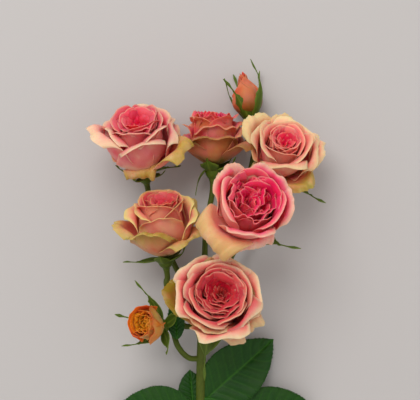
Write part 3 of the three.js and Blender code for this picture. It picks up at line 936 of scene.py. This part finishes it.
class ROSE_OT_calyces(bpy.types.Operator):
    """Makes the hip and sepals of each bloom and bud"""

    bl_idname = "rose.calyces"
    bl_label = "Calyces"

    def execute(self, context):
        colours = context.scene.rose_colours
        # Smooth young skin under wax: satin, faintly mottled, and paler along its ribs.
        material = green_material("calyx_waxy_green", colours.hip, "3f5410", "7c9030", 0.5, 6.0)
        for name, flower in (flowers() | buds()).items():
            parts = [hip(flower)]
            first, step = math.pi / (10 if name == "lower_bud" else 5), 2 * math.pi / 5
            for k in range(5):
                shape = BUD_SEPALS[name][k] if name in BUD_SEPALS else SEPALS.get(name, {}).get(k, {})
                parts.append(sepal(flower, first + k * step, len(name) * 10 + k, **shape))
            node = f"{name}_calyx"
            make_piece(f"{name}_hip_and_sepals", parts, material, node)
        return {"FINISHED"}


class ROSE_OT_buds(bpy.types.Operator):
    """Makes the wrapped petals of the two buds"""

    bl_idname = "rose.buds"
    bl_label = "Buds"

    def execute(self, context):
        scene, made = context.scene, buds()
        rng = np.random.default_rng(77)
        sheets = []
        # Each petal further in stands a little taller, on a narrower egg, with a flatter rim and less green.
        for k in range(CLOSED_BUD_PETALS):
            turn = CLOSED_BUD_FIRST_TURN + k * CLOSED_BUD_TURN
            height, scale = 20.0 + 0.33 * k, 1 - 0.1 * k
            traits = dict(tone=rng.uniform(0, 1), depth=0.1 * k, green_foot=max(0.95 - 0.12 * k, 0))
            place = (made["top_bud"], turn, k, CLOSED_BUD, height, scale, CLOSED_BUD_SPAN, 0.42 - 0.04 * k)
            sheets.append(furled_petal(*place, **traits))
        material = petal_material("petal_top_bud", scene.rose_top_bud)
        make_piece("top_bud_wrapped_petals", sheets, material, "top_bud_petals")
        sheets = packed_petals(made["lower_bud"], scene.rose_sizes.inner_petal / MM, **OPENING_BUD)
        material = petal_material("petal_lower_bud", scene.rose_lower_bud)
        make_piece("lower_bud_opening_petals", sheets, material, "lower_bud_petals")
        return {"FINISHED"}


class ROSE_OT_stems(bpy.types.Operator):
    """Makes the main stem with its cut end, and the side stems with their collars"""

    bl_idname = "rose.stems"
    bl_label = "Stems"

    def execute(self, context):
        sizes = context.scene.rose_sizes
        # Young bark, not yet woody: satin green, with faint streaks along the stem.
        material = green_material("stem_green_bark", context.scene.rose_colours.stem, "38430c", "6f7c22", 0.5, 5.0)
        thick, thin = sizes.stem / MM, sizes.side_stem / MM
        joints = [share for share, _ in SIDE_STEMS.values() if share < 0.99]

        def girth(share):
            knots = sum(bump(share, at, 0.008) for at in joints)
            return thick * (1.02 - 0.22 * smooth((share - 0.7) / 0.3) + 0.12 * np.minimum(knots, 1))

        line = np.array(MAIN_LINE) + SHIFT
        make_piece("main_stem_bark", [tube(line, girth)], material, "main_stem")
        for name, flower in (flowers() | buds()).items():
            share, ways = SIDE_STEMS[name]
            root = smooth_line(line, np.array([share]))[0]
            foot = [flower.place - flower.axis * (HIP_HEIGHT + JOINT_GAP + reach) for reach in (5, -0.4)]
            route = np.concatenate([[root], np.array(ways) + SHIFT, foot])
            node = f"{name}_side_stem"
            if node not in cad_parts:
                node = f"{name.removesuffix('_bloom')}_side_stem"
            stalk = tube(route, lambda at: thin * (1 + 0.3 * bump(at, 0, 0.07) + 0.14 * bump(at, 1, 0.05)))
            make_piece(f"{node}_bark", [stalk], material, node)
        return {"FINISHED"}


class ROSE_OT_leaves(bpy.types.Operator):
    """Makes the two compound leaves and the bract"""

    bl_idname = "rose.leaves"
    bl_label = "Leaves"

    def execute(self, context):
        # A rose leaf's skin is smooth wax over dark green: a soft gloss above, duller and paler beneath.
        leaf = green_material("leaf_glossy_green", context.scene.rose_colours.leaf, "27480c", "2e640c", 0.5, 12.0)
        up = np.array([0, 0, 1.0])
        sizes = context.scene.rose_sizes
        for n, (node, (stops, leaflets)) in enumerate(LEAVES.items()):
            rachis = np.array(stops) + SHIFT
            parts = [tube(rachis, lambda at: 1.15 - 0.45 * at, rim=0.6)]
            for k, (share, way, scale, droop) in enumerate(leaflets):
                base = smooth_line(rachis, np.array([share]))[0]
                long, wide = sizes.leaflet / MM * scale, sizes.leaflet_width / MM * scale
                seed = 10 * n + k
                parts.append(leaflet(base, np.array(way), up, long, wide, seed, droop=droop * long))
            make_piece(f"{node}_blades", parts, leaf, node)
        node = "lower_bud_bract"
        blade = leaflet(np.array(BRACT_FOOT) + SHIFT - up * 0.5, np.array(BRACT_WAY), up, **BRACT)
        make_piece(f"{node}_blade", [blade], leaf, node)
        return {"FINISHED"}


class ROSE_OT_stage(bpy.types.Operator):
    """Makes the floor, the soft lights and the camera"""

    bl_idname = "rose.stage"
    bl_label = "Stage"

    def execute(self, context):
        sizes = context.scene.rose_sizes
        mesh = bpy.data.meshes.new("floor")
        corners = [(FLOOR_REACH * x, FLOOR_REACH * y, 0) for x, y in ((-1, -1), (1, -1), (1, 1), (-1, 1))]
        mesh.from_pydata(corners, [], [(0, 1, 2, 3)])
        mesh.materials.append(floor_material("floor_matt_board", context.scene.rose_colours.floor))
        floor = bpy.data.objects.new("floor", mesh)
        context.scene.collection.objects.link(floor)
        world = bpy.data.worlds.new("studio")
        world.use_nodes = True
        background = world.node_tree.nodes["Background"]
        background.inputs["Color"].default_value = (1.0, 1.0, 1.0, 1.0)
        background.inputs["Strength"].default_value = sizes.sky
        context.scene.world = world
        context.scene.view_settings.view_transform = "Standard"
        for name, (place, width) in LIGHTS.items():
            self.light(name, place, width, getattr(sizes, name))
        camera = bpy.data.objects.new("camera", bpy.data.cameras.new("camera"))
        camera.data.sensor_width = SENSOR_MM
        camera.data.lens = SENSOR_MM * VIEW_DISTANCE / VIEW_WIDTH
        camera.data.clip_start = 0.01
        camera.location = (SHIFT[0] * MM, (VIEW_CENTRE + SHIFT[1]) * MM, sizes.camera_height)
        context.scene.collection.objects.link(camera)
        context.scene.camera = camera
        return {"FINISHED"}

    def light(self, name, place, width, power):
        """A round area light turned from its place to the aim."""
        lamp = bpy.data.lights.new(name, "AREA")
        lamp.shape = "DISK"
        lamp.size = width
        lamp.energy = power
        lit = bpy.data.objects.new(name, lamp)
        lit.location = place
        aim = unit(np.array(place) - np.array(LIGHT_AIM))
        lit.rotation_euler = (math.acos(aim[2]), 0, math.atan2(aim[0], -aim[1]))
        bpy.context.scene.collection.objects.link(lit)


class ROSE_PT_panel(bpy.types.Panel):
    """Lists what the spray is made of"""

    bl_idname = "ROSE_PT_panel"
    bl_label = "Cut Spray Rose"
    bl_space_type = "VIEW_3D"
    bl_region_type = "UI"
    bl_category = "Rose"

    def draw(self, context):
        for name, group in SETTINGS.items():
            self.layout.label(text=name.removeprefix("rose_").replace("_", " ").capitalize())
            for key in group.__annotations__:
                self.layout.prop(getattr(context.scene, name), key)
        for step in STEPS:
            self.layout.operator(f"rose.{step}")


STEPS = ("stems", "leaves", "calyces", "hearts", "outer_petals", "buds", "stage")
SETTINGS = {"rose_colours": SprayColours, "rose_sizes": SpraySizes}
SETTINGS |= {f"rose_{flower}": petal_colours(flower, codes) for flower, codes in PETAL_COLOURS.items()}
CLASSES = (
    *SETTINGS.values(),
    ROSE_OT_stems,
    ROSE_OT_leaves,
    ROSE_OT_calyces,
    ROSE_OT_hearts,
    ROSE_OT_outer_petals,
    ROSE_OT_buds,
    ROSE_OT_stage,
    ROSE_PT_panel,
)


def register():
    for made in CLASSES:
        bpy.utils.register_class(made)
    for key, group in SETTINGS.items():
        setattr(bpy.types.Scene, key, bpy.props.PointerProperty(type=group))


def unregister():
    for key in SETTINGS:
        delattr(bpy.types.Scene, key)
    for made in reversed(CLASSES):
        bpy.utils.unregister_class(made)


def main():
    register()
    for step in STEPS:
        if getattr(bpy.ops.rose, step)() != {"FINISHED"}:
            raise RuntimeError(f"rose.{step} did not finish")


if __name__ == "__main__":
    main()
